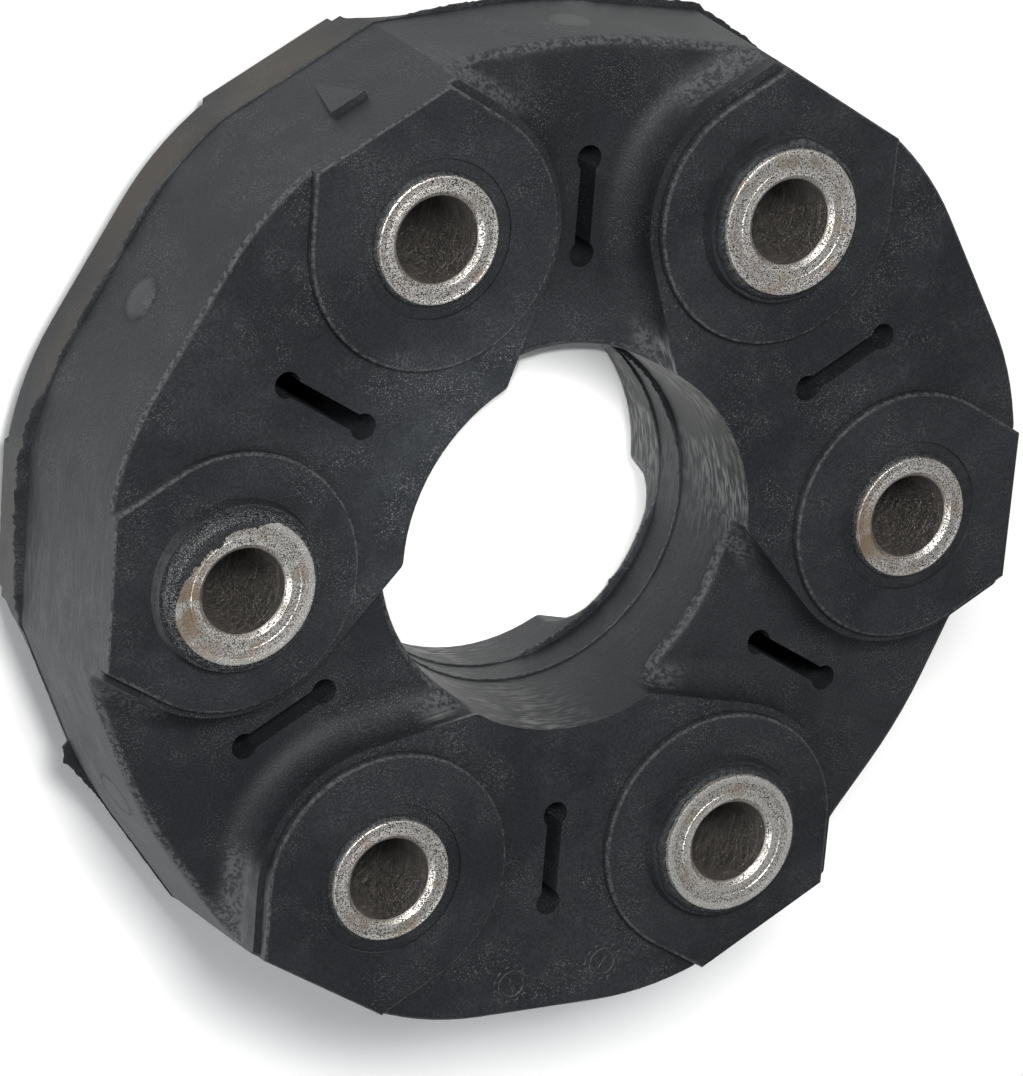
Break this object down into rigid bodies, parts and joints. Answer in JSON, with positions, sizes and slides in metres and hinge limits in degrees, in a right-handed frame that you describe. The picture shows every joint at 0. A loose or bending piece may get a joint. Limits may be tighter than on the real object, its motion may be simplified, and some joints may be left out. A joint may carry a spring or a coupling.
{
  "type": "drive shaft coupling",
  "caption": "Flexible rubber disc coupling with steel bolt bushes and moulded-in cord loops, joining two propeller shaft flanges",
  "frame": {"origin": "on the shaft axis, half way between the two faces of the coupling", "axes": "+Z along the shaft axis towards the face seen in the picture, +X through bush 1"},
  "size_m": [0.1432, 0.1417, 0.0424],
  "materials": {
    "moulded_rubber": "satin black moulding, dusty in places",
    "bush_steel": "turned end faces, bare",
    "ring_steel": "plain pressed steel",
    "cord": "wound polyester cord"
  },
  "bodies": {
    "root": {"rubber_body": "moulded_rubber", "bush_1": "bush_steel", "bush_2": "bush_steel", "bush_3": "bush_steel", "bush_4": "bush_steel", "bush_5": "bush_steel", "bush_6": "bush_steel", "front_end_ring_1": "ring_steel", "front_spacer_ring_1": "ring_steel", "rear_spacer_ring_1": "ring_steel", "rear_end_ring_1": "ring_steel", "front_end_ring_2": "ring_steel", "front_spacer_ring_2": "ring_steel", "rear_spacer_ring_2": "ring_steel", "rear_end_ring_2": "ring_steel", "front_end_ring_3": "ring_steel", "front_spacer_ring_3": "ring_steel", "rear_spacer_ring_3": "ring_steel", "rear_end_ring_3": "ring_steel", "front_end_ring_4": "ring_steel", "front_spacer_ring_4": "ring_steel", "rear_spacer_ring_4": "ring_steel", "rear_end_ring_4": "ring_steel", "front_end_ring_5": "ring_steel", "front_spacer_ring_5": "ring_steel", "rear_spacer_ring_5": "ring_steel", "rear_end_ring_5": "ring_steel", "front_end_ring_6": "ring_steel", "front_spacer_ring_6": "ring_steel", "rear_spacer_ring_6": "ring_steel", "rear_end_ring_6": "ring_steel", "front_drive_loop_1": "cord", "rear_drive_loop_1": "cord", "coast_loop_1": "cord", "front_drive_loop_2": "cord", "rear_drive_loop_2": "cord", "coast_loop_2": "cord", "front_drive_loop_3": "cord", "rear_drive_loop_3": "cord", "coast_loop_3": "cord"}
  },
  "joints": []
}
